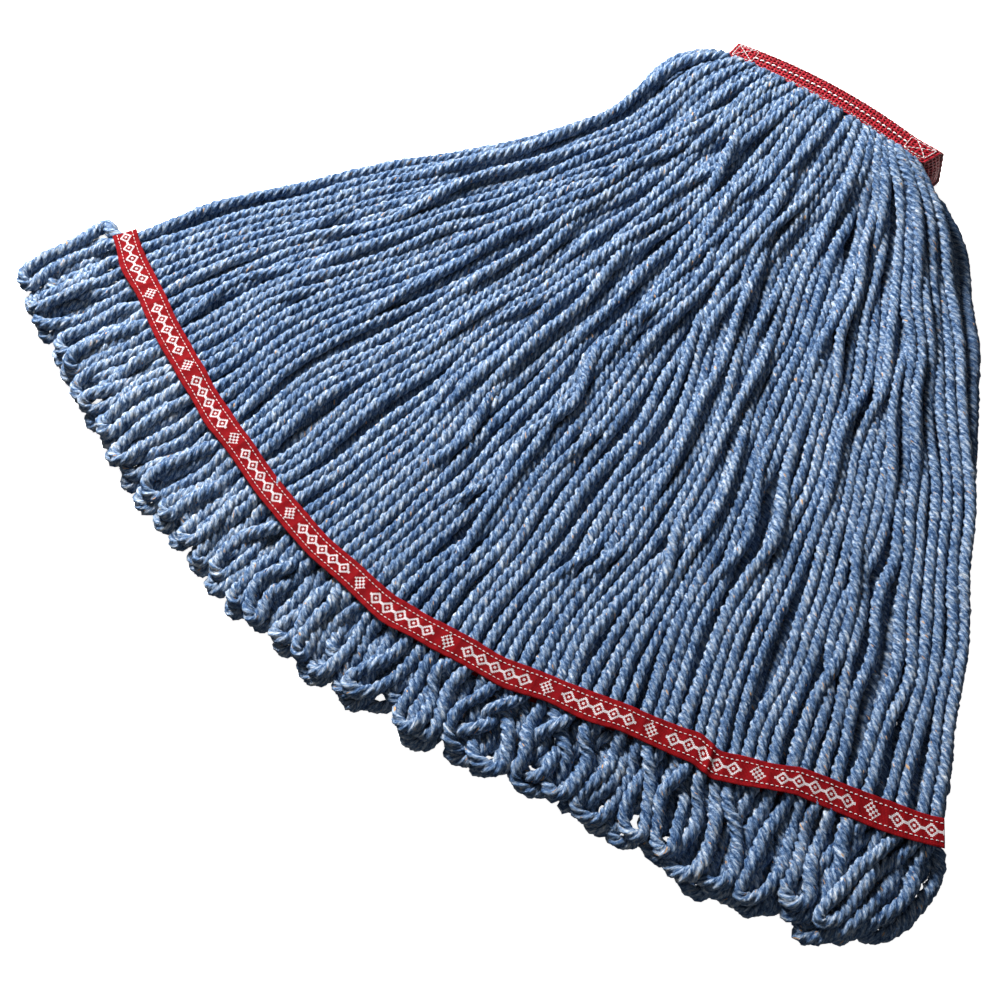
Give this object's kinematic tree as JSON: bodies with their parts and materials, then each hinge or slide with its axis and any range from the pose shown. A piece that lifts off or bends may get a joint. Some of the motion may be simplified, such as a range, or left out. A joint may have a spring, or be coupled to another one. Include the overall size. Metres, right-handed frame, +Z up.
{
  "type": "string mop",
  "caption": "Looped-end wet mop head, folded at a stitched mesh headband, its blue yarn fanned out flat under a woven red tail band.",
  "frame": {"origin": "middle of the footprint, on the floor that the mop lies on", "axes": "+X along the headband, +Y from the fringe to the headband crest, +Z up, away from the floor"},
  "size_m": [0.6576, 0.5205, 0.03],
  "materials": {
    "headband_mesh": "PVC-coated open mesh tape, red, satin",
    "stitching": "white twisted sewing thread",
    "yarn": "4-ply blended yarn, heather blue with pale flecks, matt and fuzzy",
    "tail_tape": "woven ribbon, red with white pattern, soft sheen"
  },
  "bodies": {
    "bottom_curtain": {"headband_tape_bottom": "headband_mesh", "headband_stitch_front_bottom": "stitching", "headband_stitch_crest_bottom": "stitching", "headband_bartack_left_bottom": "stitching", "headband_bartack_right_bottom": "stitching", "yarn_bottom_near_1": "yarn", "yarn_bottom_near_2": "yarn", "yarn_bottom_near_3": "yarn", "yarn_bottom_near_4": "yarn", "yarn_bottom_near_5": "yarn"},
    "bottom_skirt": {"yarn_bottom_far_1": "yarn", "yarn_bottom_far_2": "yarn", "yarn_bottom_far_3": "yarn", "yarn_bottom_far_4": "yarn", "yarn_bottom_far_5": "yarn", "tail_band_bottom_lower": "tail_tape", "tail_band_bottom_upper": "tail_tape", "tail_stitch_bottom_inner": "stitching", "tail_stitch_bottom_outer": "stitching"},
    "top_curtain": {"headband_tape_top": "headband_mesh", "headband_stitch_front_top": "stitching", "headband_stitch_crest_top": "stitching", "headband_bartack_left_top": "stitching", "headband_bartack_right_top": "stitching", "yarn_top_near_1": "yarn", "yarn_top_near_2": "yarn", "yarn_top_near_3": "yarn", "yarn_top_near_4": "yarn", "yarn_top_near_5": "yarn"},
    "top_skirt": {"yarn_top_far_1": "yarn", "yarn_top_far_2": "yarn", "yarn_top_far_3": "yarn", "yarn_top_far_4": "yarn", "yarn_top_far_5": "yarn", "tail_band_top_lower": "tail_tape", "tail_band_top_upper": "tail_tape", "tail_stitch_top_inner": "stitching", "tail_stitch_top_outer": "stitching"},
    "bottom_loops_1": {"loops_bottom_1": "yarn"},
    "bottom_loops_2": {"loops_bottom_2": "yarn"},
    "bottom_loops_3": {"loops_bottom_3": "yarn"},
    "bottom_loops_4": {"loops_bottom_4": "yarn"},
    "bottom_loops_5": {"loops_bottom_5": "yarn"},
    "bottom_loops_6": {"loops_bottom_6": "yarn"},
    "bottom_loops_7": {"loops_bottom_7": "yarn"},
    "bottom_loops_8": {"loops_bottom_8": "yarn"},
    "top_loops_1": {"loops_top_1": "yarn"},
    "top_loops_2": {"loops_top_2": "yarn"},
    "top_loops_3": {"loops_top_3": "yarn"},
    "top_loops_4": {"loops_top_4": "yarn"},
    "top_loops_5": {"loops_top_5": "yarn"},
    "top_loops_6": {"loops_top_6": "yarn"},
    "top_loops_7": {"loops_top_7": "yarn"},
    "top_loops_8": {"loops_top_8": "yarn"}
  },
  "joints": [
    {"name": "headband_fold", "type": "hinge", "parent": "bottom_curtain", "child": "top_curtain", "pos_m": [-0.0041, 0.2605, 0.015], "axis": [-1, 0, 0], "range_deg": [0, 180]},
    {"name": "top_curtain_bend", "type": "hinge", "parent": "top_curtain", "child": "top_skirt", "pos_m": [-0.0041, 0.0505, 0.0206], "axis": [-1, 0, 0], "range_deg": [0, 90]},
    {"name": "bottom_curtain_bend", "type": "hinge", "parent": "bottom_curtain", "child": "bottom_skirt", "pos_m": [-0.0041, 0.0505, 0.0009], "axis": [-1, 0, 0], "range_deg": [-90, 0]},
    {"name": "top_loops_swing_1", "type": "hinge", "parent": "top_skirt", "child": "top_loops_1", "pos_m": [-0.27395, -0.13467, 0.0172], "axis": [-0.8851, 0.4654, 0], "range_deg": [0, 90]},
    {"name": "top_loops_swing_2", "type": "hinge", "parent": "top_skirt", "child": "top_loops_2", "pos_m": [-0.20062, -0.16698, 0.0172], "axis": [-0.9408, 0.3389, 0], "range_deg": [0, 90]},
    {"name": "top_loops_swing_3", "type": "hinge", "parent": "top_skirt", "child": "top_loops_3", "pos_m": [-0.12353, -0.18887, 0.0172], "axis": [-0.9786, 0.206, 0], "range_deg": [0, 90]},
    {"name": "top_loops_swing_4", "type": "hinge", "parent": "top_skirt", "child": "top_loops_4", "pos_m": [-0.04417, -0.19991, 0.0172], "axis": [-0.9976, 0.0691, 0], "range_deg": [0, 90]},
    {"name": "top_loops_swing_5", "type": "hinge", "parent": "top_skirt", "child": "top_loops_5", "pos_m": [0.03597, -0.19991, 0.0172], "axis": [-0.9976, -0.0691, 0], "range_deg": [0, 90]},
    {"name": "top_loops_swing_6", "type": "hinge", "parent": "top_skirt", "child": "top_loops_6", "pos_m": [0.11533, -0.18887, 0.0172], "axis": [-0.9786, -0.206, 0], "range_deg": [0, 90]},
    {"name": "top_loops_swing_7", "type": "hinge", "parent": "top_skirt", "child": "top_loops_7", "pos_m": [0.19242, -0.16698, 0.0172], "axis": [-0.9408, -0.3389, 0], "range_deg": [0, 90]},
    {"name": "top_loops_swing_8", "type": "hinge", "parent": "top_skirt", "child": "top_loops_8", "pos_m": [0.26575, -0.13467, 0.0172], "axis": [-0.8851, -0.4654, 0], "range_deg": [0, 90]},
    {"name": "bottom_loops_swing_1", "type": "hinge", "parent": "bottom_skirt", "child": "bottom_loops_1", "pos_m": [-0.27395, -0.13467, -0.0003], "axis": [-0.8851, 0.4654, 0], "range_deg": [-90, 0]},
    {"name": "bottom_loops_swing_2", "type": "hinge", "parent": "bottom_skirt", "child": "bottom_loops_2", "pos_m": [-0.20062, -0.16698, -0.0003], "axis": [-0.9408, 0.3389, 0], "range_deg": [-90, 0]},
    {"name": "bottom_loops_swing_3", "type": "hinge", "parent": "bottom_skirt", "child": "bottom_loops_3", "pos_m": [-0.12353, -0.18887, -0.0003], "axis": [-0.9786, 0.206, 0], "range_deg": [-90, 0]},
    {"name": "bottom_loops_swing_4", "type": "hinge", "parent": "bottom_skirt", "child": "bottom_loops_4", "pos_m": [-0.04417, -0.19991, -0.0003], "axis": [-0.9976, 0.0691, 0], "range_deg": [-90, 0]},
    {"name": "bottom_loops_swing_5", "type": "hinge", "parent": "bottom_skirt", "child": "bottom_loops_5", "pos_m": [0.03597, -0.19991, -0.0003], "axis": [-0.9976, -0.0691, 0], "range_deg": [-90, 0]},
    {"name": "bottom_loops_swing_6", "type": "hinge", "parent": "bottom_skirt", "child": "bottom_loops_6", "pos_m": [0.11533, -0.18887, -0.0003], "axis": [-0.9786, -0.206, 0], "range_deg": [-90, 0]},
    {"name": "bottom_loops_swing_7", "type": "hinge", "parent": "bottom_skirt", "child": "bottom_loops_7", "pos_m": [0.19242, -0.16698, -0.0003], "axis": [-0.9408, -0.3389, 0], "range_deg": [-90, 0]},
    {"name": "bottom_loops_swing_8", "type": "hinge", "parent": "bottom_skirt", "child": "bottom_loops_8", "pos_m": [0.26575, -0.13467, -0.0003], "axis": [-0.8851, -0.4654, 0], "range_deg": [-90, 0]}
  ]
}
